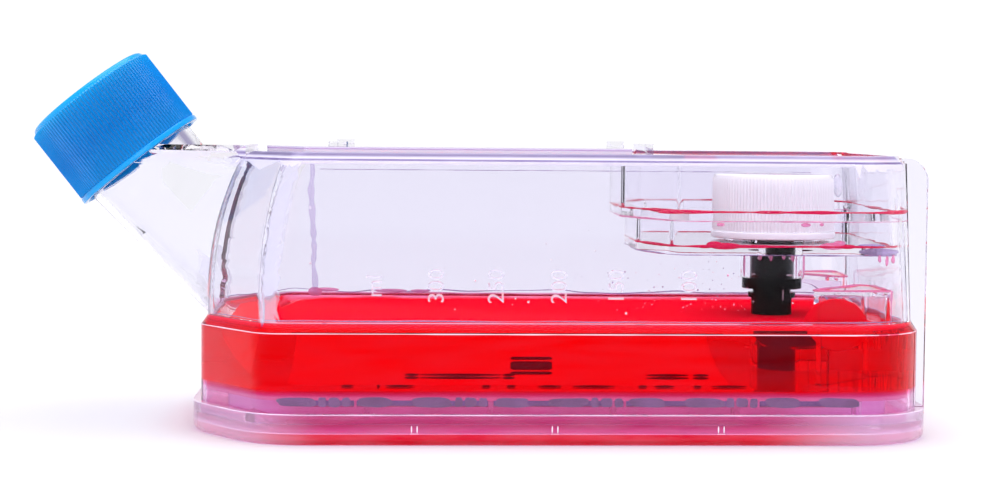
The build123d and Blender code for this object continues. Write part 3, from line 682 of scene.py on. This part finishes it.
# the open surface's sheet, in mm, and its colours: edge and edgeWidth give a painted pink glow along the back wall
surface = {
    "colour": (0.92, 0, 0.015), "edge": (0.86, 0.3, 0.5), "through": (0.95, 0.1, 0.15), "edgeWidth": 3,
    "above": 0.06, "thickness": 0.25, "inset": 1.125, "slant": 1.5,
}


# deep red, turning pink in an uneven strip along the back wall: painted light where the surface climbs that wall
def surfaceMaterial():
    material, tree, shader = newMaterial("mediumSurface")
    coords, split, strip, blotch, shift, blend = newNodes(
        tree, "TexCoord", "SeparateXYZ", "MapRange", "TexNoise", "Math", "Mix")
    shift.operation, strip.interpolation_type, blend.data_type = "MULTIPLY_ADD", "SMOOTHSTEP", "RGBA"
    back = mediumHi[1] * mm + 0.004
    setInputs(blotch, {"Scale": 90})
    setInputs(shift, {1: 0.008})
    setInputs(strip, {"From Min": back - surface["edgeWidth"] * mm - 0.002, "From Max": back + 0.001})
    setInputs(blend, {6: (*surface["colour"], 1), 7: (*surface["edge"], 1)})
    setInputs(shader, {"Roughness": 0.3, "Specular IOR Level": 0})
    wire(tree, (coords, "Object", split, 0), (coords, "Object", blotch, "Vector"), (blotch, 0, shift, 0),
         (split, "Y", shift, 2), (shift, 0, strip, "Value"), (strip, "Result", blend, "Factor"),
         (blend, 2, shader, "Base Color"))
    letLampsThrough(tree, shader, surface["through"])
    return material


surfacePaint = surfaceMaterial()


# the medium's plan drawn in by a margin, as a thin closed sheet just over its level
def makeSurface():
    inner, outer = surface["inset"] + surface["slant"], surface["inset"]
    top = medium["level"] + surface["above"]
    low = top - surface["thickness"]
    piece = pouredSurface("mediumSurface", [(inner, low), (outer, low), (outer, top), (inner, top)])
    detail(piece, "medium", surfacePaint)


makeMedium()
makeSurface()
print("medium poured")

# threads of the two necks, in mm
threads = {
    "medium": {"foot": neckFoot, "axis": neckAxis, "root": 12.5, "crest": 14.1, "pitch": 4, "from": 4.6,
               "turns": 2.3},
    "port": {"foot": portFoot, "axis": portAxis, "root": 11.3, "crest": 12.5, "pitch": 3, "from": 2.6,
             "turns": 2.4},
}
threadProfile = np.array([(0, -0.32), (0.7, -0.2), (1, -0.09), (1, 0.09), (0.7, 0.2), (0, 0.32)])


# r = root + (profile) x fade, h = from + pitch a / 2 pi + (profile), a = 0 .. 2 pi turns: a blunt ridge that
# fades in and out at its ends
def makeThread(label, thread):
    across, side, along = axes(thread["axis"])
    angle = np.linspace(0, 2 * pi * thread["turns"], int(72 * thread["turns"]))[:, None]
    fade = np.clip(np.minimum(angle, angle[-1] - angle) / 0.6, 0.05, 1) ** 0.5
    radius = thread["root"] + (thread["crest"] - thread["root"]) * threadProfile[:, 0] * fade
    rise = thread["from"] + thread["pitch"] * (angle / (2 * pi) + threadProfile[:, 1] * (0.4 + 0.6 * fade))
    ring = (np.cos(angle) * across + np.sin(angle) * side)[:, None]
    points = np.array(thread["foot"]) + rise[..., None] * along + radius[..., None] * ring
    detail(gridSurface(label + "NeckThread", points, capEnds=True), "flask_housing", clearPlastic)


for label, thread in threads.items():
    makeThread(label, thread)

# graduations, raised on the front wall and read with the flask standing on its fins, in mm
graduations = {
    "marks": {"ml": -40.7, "300": -27.4, "250": -14.5, "200": -0.9, "150": 11.5, "100": 27.3},
    "z": 34.2, "size": 5, "depth": 0.22, "face": 42.3, "bevel": 0.05, "offset": -0.06,
}


def makeGraduations():
    upended = Matrix(((0, -1, 0, 0), (0, 0, -1, 0), (1, 0, 0, 0), (0, 0, 0, 1)))
    for words, x in graduations["marks"].items():
        curve = bpy.data.curves.new("mark" + words, "FONT")
        curve.body, curve.size, curve.extrude = words, graduations["size"], graduations["depth"] / 2
        curve.align_x = curve.align_y = "CENTER"
        curve.bevel_depth, curve.bevel_resolution = graduations["bevel"], 1
        curve.offset = graduations["offset"]
        lettering = linked("mark" + words, curve)
        bpy.context.view_layer.update()
        mesh = bpy.data.meshes.new_from_object(lettering)
        bpy.data.objects.remove(lettering)
        place = Vector((baseX + x, -graduations["face"], graduations["z"])) * mm
        mesh.transform(Matrix.Translation(place) @ upended @ Matrix.Scale(mm, 4))
        detail(tidied(linked("graduation" + words, mesh)), "flask_housing", raisedMark)


makeGraduations()
print("threads and graduations ready")


# a closed run of random values from least to most, eased between cells
def smoothNoise(count, cells, seed, least=0, most=1):
    values = np.random.default_rng(seed).random(cells)
    at = np.linspace(0, cells, count, endpoint=False)
    low = at.astype(int)
    t = at - low
    t = t * t * (3 - 2 * t)
    return least + (most - least) * (values[low % cells] * (1 - t) + values[(low + 1) % cells] * t)


# a round bead carried along a path: path + radius (cos a side + squash sin a up), closed at its ends
def bead(name, path, radius, material, node="flask_housing", sides=8, squash=1):
    ahead = unitOf(np.gradient(path, axis=0))
    steep = np.abs(ahead[:, 2:3]) > 0.8
    side = unitOf(np.cross(ahead, np.where(steep, (0, 1, 0), (0, 0, 1))))
    up = np.cross(side, ahead)
    angle = fullTurn(sides)[:, None]
    ring = np.cos(angle) * side[:, None, :] + squash * np.sin(angle) * up[:, None, :]
    points = path[:, None, :] + radius[:, None, None] * ring
    detail(gridSurface(name, points, capEnds=True), node, material)


# small ellipsoids: place + size (cos v cos u, cos v sin u, sin v), all in one mesh
def drops(name, places, sizes, material, node="flask_housing", rows=6, columns=8):
    v = np.linspace(-pi / 2, pi / 2, rows + 2)[1:-1, None]
    u = fullTurn(columns)
    unit = np.stack([np.cos(v) * np.cos(u), np.cos(v) * np.sin(u), np.sin(v) + 0 * u], -1).reshape(-1, 3)
    unit = np.vstack([unit, (0, 0, -1), (0, 0, 1)])
    here, beside = np.arange(columns), np.roll(np.arange(columns), -1)
    last, south = (rows - 1) * columns, np.full(columns, rows * columns)
    tips = np.vstack([np.column_stack([south, beside, here]),
                      np.column_stack([south + 1, last + here, last + beside])])
    places, sizes = np.atleast_2d(places), np.atleast_2d(sizes)
    shift = len(unit) * np.arange(len(places))[:, None, None]
    faces = []
    for kind in (gridQuads(rows, columns), tips):
        faces += (shift + kind).reshape(-1, kind.shape[1]).tolist()
    points = places[:, None, :] + sizes[:, None, :] * unit
    detail(newPiece(name, points, faces, sharpAngle=80), node, material)


# liquid left round the outside of the recess, in mm from the middle of the base: the plan of its two levels
recess = {
    "ledge": {"left": 17, "corner": 27, "half": 36.1, "round": 11.5, "z": 50.15},
    "floor": {"left": 20.7, "corner": 26.5, "half": 29.8, "round": 7, "z": 42.35},
    "panWall": 1.8, "gap": 0.12, "right": 76, "endHalf": 13, "leftRound": 3, "points": 400,
}


# a wet line round one level, its thickness uneven and less at the back
def recessLine(name, level, thickness, material, seed, lift):
    plan = sixCornered(level["left"], level["corner"], recess["right"], recess["endHalf"], level["half"],
                       recess["leftRound"], level["round"], recess["points"])
    plan = plan - inward(plan) * (recess["panWall"] + recess["gap"])
    wet = smoothNoise(len(plan), 26, seed) * 0.7 + smoothNoise(len(plan), 90, seed + 1) * 0.3
    radius = thickness * np.clip(wet * 1.5 - 0.05, 0.3, 1) * np.where(plan[:, 1] < 0, 1, 0.4)
    bead(name, atBase(atHeight(plan, level["z"] + lift)), radius, material)


recessLine("ledgeWetLine", recess["ledge"], 0.46, wetRed, 3, 0.15)
recessLine("ledgeUnderLine", recess["ledge"], 0.22, wetPink, 5, -1.9)
recessLine("floorWetLine", recess["floor"], 0.36, wetRed, 8, 0.1)
recessLine("floorUnderLine", recess["floor"], 0.2, violetWetAndShade, 12, -1.85)


# a thin line round the inside of the walls at a level, wavering by a wave height, less so at the front
def wallLine(name, z, inset, thickness, wave, material, seed):
    plan = wallOutline(inset)
    high = z + wave * (smoothNoise(len(plan), 60, seed) - 0.5) * np.clip(plan[:, 1] / 10, 0.15, 1)
    radius = thickness * smoothNoise(len(plan), 44, seed + 1, 0.35)
    bead(name, atHeight(plan, high), radius, material, "medium")


# painted shade: a violet line for the shoulder's top edge; under it a pink wet line
wallLine("shoulderShadeLine", 26.45, 1.75, 0.2, 1, violetWetAndShade, 21)
wallLine("pinkWetLine", 25.75, 1.3, 0.16, 0.4, wetPink, 31)

# outside edges of the base, in mm: heights, how far the foot's stand out, and its corners at the neck end
edges = {"shoulder": 23.95, "flangeTop": 6.72, "joint": 4.75, "footTop": 2.7, "out": -1.84, "footRound": 18}


# a fine line along an edge, of uneven thickness: a painted highlight, or the dark line of a joint
def edgeLine(name, z, inset, thickness, material, seed, leftRound):
    plan = wallOutline(inset - wall, leftRound)
    radius = thickness * smoothNoise(len(plan), 70, seed, 0.55)
    bead(name, atHeight(plan, z), radius, material, sides=6)


# painted highlights along the shoulder, flange and foot edges; the violet line is the dark joint
edgeLine("shoulderEdge", edges["shoulder"], 0.1, 0.17, paintedHighlightLine, 81, medium["leftRound"])
edgeLine("flangeEdge", edges["flangeTop"], edges["out"], 0.15, paintedHighlightLine, 82, edges["footRound"])
edgeLine("jointEdge", edges["joint"], edges["out"], 0.1, violetWetAndShade, 83, edges["footRound"])
edgeLine("footEdge", edges["footTop"], edges["out"], 0.13, paintedHighlightLine, 84, edges["footRound"])

# drops and runs, in mm from the middle of the base: place, half size. The coupling's are painted highlights.
redDrops = [
    (36.4, -31.7, 42.5, 3.6, 0.35, 0.75), (34, -31.7, 42.9, 1.8, 0.3, 0.7),
    (31.9, -31.7, 42.4, 1.8, 0.3, 0.4), (24, -37.9, 50.25, 3.6, 0.4, 0.42),
    (63.6, -31.7, 42.5, 2, 0.3, 0.5),
]
pinkDrops = [
    (60.4, -31.7, 42.6, 3, 0.3, 0.8), (61.8, -31.7, 43.1, 1.4, 0.3, 0.8),
    (34.3, -38.2, 47.6, 0.9, 0.35, 0.4), (53, -38.2, 47.6, 1.1, 0.35, 0.45),
    (56.5, -38.2, 47.7, 0.5, 0.3, 0.35), (-57.4, 40.4, 26, 1.8, 0.2, 1.3),
    (-54.6, 40.4, 26.6, 3.4, 0.2, 0.55), (-38, 40.5, 26.4, 4.2, 0.25, 0.5),
    (-30.5, 40.5, 26.4, 2.6, 0.25, 0.4), (71, -31.8, 39.9, 0.45, 0.35, 0.9),
    (72.6, -31.8, 39.4, 0.4, 0.35, 1.2), (74, -31.6, 39.8, 0.5, 0.4, 1),
    (48.6, -6.6, 38.9, 0.45, 0.35, 1.2), (51, -7.5, 38.6, 0.4, 0.3, 1), (54, -7.5, 39.2, 0.5, 0.3, 1.3),
    (56.3, -6.7, 38.4, 0.45, 0.35, 1), (45.6, -2.6, 36.6, 0.3, 0.3, 3), (59.7, -2.4, 36.4, 0.3, 0.3, 3.2),
]
violetDrops = [(70.8, -31.75, 41.4, 4.6, 0.22, 0.85), (69.5, -29, 42.7, 3, 0.8, 0.4)]
# painted highlights: small clear beads on the black coupling
couplingGlints = [
    (48.2, -6.9, 38.3, 0.35, 0.15, 0.3), (50.6, -7, 38.5, 0.2, 0.12, 0.2),
    (55.6, -6.9, 38.2, 0.3, 0.12, 0.25), (46.6, -9.3, 34.7, 0.5, 0.15, 0.18),
    (55.2, -9.4, 34.5, 0.9, 0.15, 0.2), (58.1, -8.8, 34, 0.25, 0.15, 0.6),
    (54.2, -6.2, 29.8, 0.15, 0.15, 1.6), (47.3, -5.6, 28, 0.3, 0.12, 0.2),
]
clearDropsAndGlints = couplingGlints + [
    (-64.6, -40.2, 28.2, 0.55, 0.4, 3.6), (62.6, -29.5, 43.4, 1.2, 0.5, 0.35),
    (72.3, 19, 54.6, 1.2, 0.4, 2.9),
]


# random places in a box on the front wall, with a half size each
def scatter(count, seed, low, high, least, most):
    random = np.random.default_rng(seed)
    places = low + (np.array(high) - low) * random.random((count, 3))
    size = least + (most - least) * random.random(count) ** 2
    return places, np.stack([size, size * 0.45, size * (0.8 + 0.5 * random.random(count))], -1)


for name, material, listed, (places, sizes) in (
        ("redDrops", wetRed, redDrops, scatter(5, 40, (14, -42.2, 29), (39, -42.1, 38), 0.08, 0.16)),
        ("pinkDrops", wetPink, pinkDrops, scatter(18, 41, (10, -42.2, 29), (40, -42.1, 38), 0.08, 0.2)),
        ("violetDrops", violetWetAndShade, violetDrops, scatter(44, 42, (2, -42.2, 28.5), (44, -42.1, 40), 0.08, 0.2)),
        ("clearDropsAndGlints", clearWetAndGlint, clearDropsAndGlints, scatter(30, 43, (-55, -42.1, 28), (50, -42, 52), 0.1, 0.28))):
    centre, half = np.hsplit(np.array(listed), 2)
    drops(name, atBase(np.vstack([centre, places])), np.vstack([half, sizes]), material)

# painted highlights at the ends of the notches in the foot's front edge, in mm from the middle of the base
notches = {"places": (-32.1, -1.9, 34), "halfGap": 0.6, "y": -45.85, "z": 3.7, "size": (0.16, 0.1, 0.8)}
notchEnds = [(x + side * notches["halfGap"], notches["y"], notches["z"])
             for x in notches["places"] for side in (-1, 1)]
drops("notchGlints", atBase(notchEnds), [notches["size"]] * len(notchEnds), paintedHighlightLine, "base_tray")

# painted shade: a dark line for the far eave's lower edge, seen through the flask
eaveLine = {"from": -55.5, "to": 70, "y": 38.7, "z": 57.3, "thickness": 0.13, "points": 160}
path = straight(eaveLine["from"], eaveLine["to"], eaveLine["y"], eaveLine["z"], eaveLine["points"])
radius = eaveLine["thickness"] * smoothNoise(len(path), 40, 90, 0.5)
bead("backEaveLine", path, radius, violetWetAndShade, sides=6)

# medium caught inside the front corner tower
towerDome = {"x": 61.9, "y": -28.7, "below": 0.1, "size": (7.3, 0.5, 6.2)}
place = atBase((towerDome["x"], towerDome["y"], medium["level"] - towerDome["below"]))
drops("towerMedium", place, towerDome["size"], surfacePaint, "medium", rows=20, columns=32)

# wet edges of the towers, in mm from the middle of the base: the corners and the run are those at the back
towers = {
    "corners": ((54.8, 31), (74.4, 31), (73.5, 10)), "cornerRound": 1.6, "points": 120, "out": 0.12,
    "top": 32.6, "foot": 25, "run": (74.2, 30.8), "runPoints": 24,
}
for side, label in ((-1, "front"), (1, "back")):
    corners = np.array(towers["corners"]) * (1, side)
    plan = evened(outline(corners, [towers["cornerRound"]] * 3), towers["points"])
    turn = np.sign(np.cross(plan[1] - plan[0], plan[2] - plan[1]))
    plan = plan - turn * inward(plan) * towers["out"]
    rim = atBase(atHeight(plan, towers["top"] + 0.02))
    bead(label + "TowerWetRim", rim, smoothNoise(len(rim), 14, 50 + side, 0.1, 0.32), wetPink)
    high = np.linspace(towers["top"], towers["foot"], towers["runPoints"])
    run = atBase(atHeight(np.full((len(high), 2), towers["run"]) * (1, side), high))
    bead(label + "TowerRun", run, smoothNoise(len(run), 6, 60 + side, 0.12, 0.28), wetPink)

# dark things in the medium, in mm from the middle of the base: clips over the screen, and dashes along its
# front rails by the depth of the rail
darkMark = solidMaterial("darkClip", (0.004, 0, 0.002))
clips = {"from": -9.9, "to": -0.3, "levels": ((12.6, 0.24), (11.75, 0.42)), "y": -2, "points": 30}
dashes = {
    -33.2: [(-48.1, -45.3), (-40.3, -39.6), (-38.4, -32.1), (-17.4, -15.4), (-11.9, -9.9), (-5, 0.1),
            (2.6, 11.8), (17, 19), (20.6, 25), (29.2, 31), (33.4, 41)],
    -15.2: [(-34.3, -31), (-30.7, -12.6), (-12.2, -9.4), (20.4, 30), (31, 34.6)],
}
dashShape = {"z": 11.75, "thickness": 0.26, "points": 16, "blunt": 0.15}
for count, (z, thickness) in enumerate(clips["levels"]):
    path = straight(clips["from"], clips["to"], clips["y"], z, clips["points"])
    step = np.arange(len(path))
    ends = np.clip(np.minimum(step, step[::-1]) / 2, 0.3, 1) ** 0.5
    bead("screenClip%d" % count, path, thickness * ends, darkMark, "membrane_frame")
for y, runs in dashes.items():
    for count, (start, end) in enumerate(runs):
        path = straight(start, end, y, dashShape["z"], dashShape["points"])
        swell = 0.25 + 0.75 * np.sin(np.linspace(dashShape["blunt"], pi - dashShape["blunt"], len(path)))
        radius = dashShape["thickness"] * swell
        bead("railDash%d_%d" % (-y, count), path, radius, darkMark, "membrane_frame", sides=6)

# painted shade: dark sheets behind the windows of the grid's long walls, in mm: each place in a bay has a width
windowShades = {
    "first": -63.6, "pitch": 29.4, "bays": 5,
    "places": ((6.1, 9.4), (11.7, 1.9), (14.3, 2.9), (16.9, 2), (23.1, 8.4)), "least": 0.78,
    "z": 9.15, "height": 2.3, "y": 42.36, "thickness": 0.03, "from": -59, "to": 60.5, "points": 36,
}


# each sheet is |x / a|^4 + |z / b|^4 = 1 with its radius wandering, carried through its thickness
def makeWindowShades():
    angle = fullTurn(windowShades["points"])
    unit = 1 / (np.abs(np.cos(angle)) ** 4 + np.abs(np.sin(angle)) ** 4) ** 0.25
    for side, label in ((-1, "front"), (1, "back")):
        for bay in range(windowShades["bays"]):
            for place, width in windowShades["places"]:
                x = windowShades["first"] + windowShades["pitch"] * bay + place
                if not windowShades["from"] < x < windowShades["to"]:
                    continue
                radius = unit * smoothNoise(len(unit), 9, int(bay * 37 + place * 10), 1, windowShades["least"])
                across = x + width / 2 * radius * np.cos(angle)
                up = windowShades["z"] + windowShades["height"] / 2 * radius * np.sin(angle)
                rows = [atBase(np.column_stack([across, np.full(len(up), side * depth), up]))
                        for depth in (windowShades["y"], windowShades["y"] + windowShades["thickness"])]
                piece = gridSurface("%sPane%d_%d" % (label, bay, place * 10), np.array(rows), capEnds=True)
                detail(piece, "lower_support_grid", windowShadeGrey)


makeWindowShades()

# painted shade: an upright streak for the back corner's edge seen through the flask, in mm from the middle of the
# base
streak = {"x": -57.6, "y": 40.4, "from": 25.5, "to": 59, "halfWidth": 0.9, "waver": 0.5, "lean": 0.055,
          "squash": 0.12, "points": 60}
rise = np.linspace(streak["from"], streak["to"], streak["points"])
path = atBase(np.column_stack([streak["x"] + smoothNoise(len(rise), 9, 70, 0, streak["waver"]),
                               streak["y"] - streak["lean"] * (rise - streak["from"]), rise]))
radius = streak["halfWidth"] * smoothNoise(len(rise), 22, 71, 0.5, 1.1)
bead("backCornerShadeStreak", path, radius, backCornerShade, squash=streak["squash"])
print("residue in place")

# mouldings cut from the frame: material, how far the skin is drawn in, and the rounding of its edges, in mm
mouldings = {
    "flask_housing": (clearPlastic, 0, 0.35), "base_tray": (lowerPlastic, 0.04, 0.3),
    "membrane_frame": (framePlastic, 0.06, 0.25), "upper_support_grid": (screenPlastic, 0.05, 0),
    "lower_support_grid": (gridPlastic, 0.05, 0), "cell_gasket": (greyRubber, 0.05, 0),
    "cell_suspension": (cellLiquid, 0.08, 0), "silicone_membrane": (thinSheet, 0.03, 0),
    "dialysis_membrane": (thinSheet, 0.03, 0), "port_coupling": (blackRubber, 0.04, 0.2),
    "dip_tube": (blackRubber, 0.04, 0.15), "port_gland": (blackRubber, 0.04, 0.3),
    "medium_cap_liner": (linerFoam, 0, 0.1), "port_cap_liner": (linerFoam, 0, 0.1),
}
# where other materials begin and end, in mm from the middle of the base, and the flat walls' normals in plan
zones = {
    "flangeTop": 6.9, "bandTop": 26.3, "plateTop": 11.75, "neckEnd": -81, "neckLean": 7.7, "neckOut": 0.5,
    "recessX": (14, 75), "recessHalf": 38.8, "recessZ": (30, 60.5), "cornerX": -52, "cornerHalf": 17.5,
    "cornerBack": 33, "cornerTop": 61.5, "eavesZ": (59.8, 65), "eavesHalf": 33.5, "eavesX": (-72, -55),
    "flatNormals": ((0, 1), (0.82, 0.572), (1, 0)), "flatLeast": 0.996,
}


def within(values, limits):
    return (values > limits[0]) & (values < limits[1])


# material and mask of each region, from the faces' middles and whether they lie in a flat wall. Later ones
# cover earlier ones. The wall at the neck end leans in by neckLean (height / 35)^2.
def regionsOf(node, x, y, z, flat):
    if node == "membrane_frame":
        return [(platePlastic, z < zones["plateTop"])]
    neckEnd = zones["neckEnd"] + zones["neckLean"] * ((z - 26) / 35) ** 2
    above = z >= zones["bandTop"]
    return [
        (neckPlastic, above & (x < neckEnd - zones["neckOut"])),
        (flangePlastic, z < zones["flangeTop"]),
        (bandPlastic, (z >= zones["flangeTop"]) & ~above),
        (recessPlastic, within(z, zones["recessZ"]) & within(x, zones["recessX"])
         & (np.abs(y) < zones["recessHalf"])),
        (cornerPlastic, above & (z < zones["cornerTop"]) & (x < zones["cornerX"]) & (x > neckEnd) & ~flat
         & (np.abs(y) > zones["cornerHalf"]) & (y < zones["cornerBack"])),
        (eavesPlastic, within(z, zones["eavesZ"]) & (x > zones["eavesX"][0])
         & ((np.abs(y) > zones["eavesHalf"]) | (x < zones["eavesX"][1]))),
    ]


def paintRegions(piece, node):
    faces = piece.data.polygons
    x, y, z = readAll(faces, "center").T / mm
    plan = np.abs(readAll(faces, "normal")[:, :2])
    plan /= np.maximum(np.linalg.norm(plan, axis=1), 1e-6)[:, None]
    flat = (plan @ np.array(zones["flatNormals"]).T).max(1) > zones["flatLeast"]
    slots = np.zeros(len(faces), np.int32)
    for material, inside in regionsOf(node, x - baseX, y, z, flat):
        piece.data.materials.append(material)
        slots[inside] = len(piece.data.materials) - 1
    faces.foreach_set("material_index", slots)


for node, (material, shrink, rounding) in mouldings.items():
    moulding = stand(skinOf(node, shrink, rounding), node, material)
    if node in ("flask_housing", "membrane_frame"):
        paintRegions(moulding, node)
print("mouldings ready")
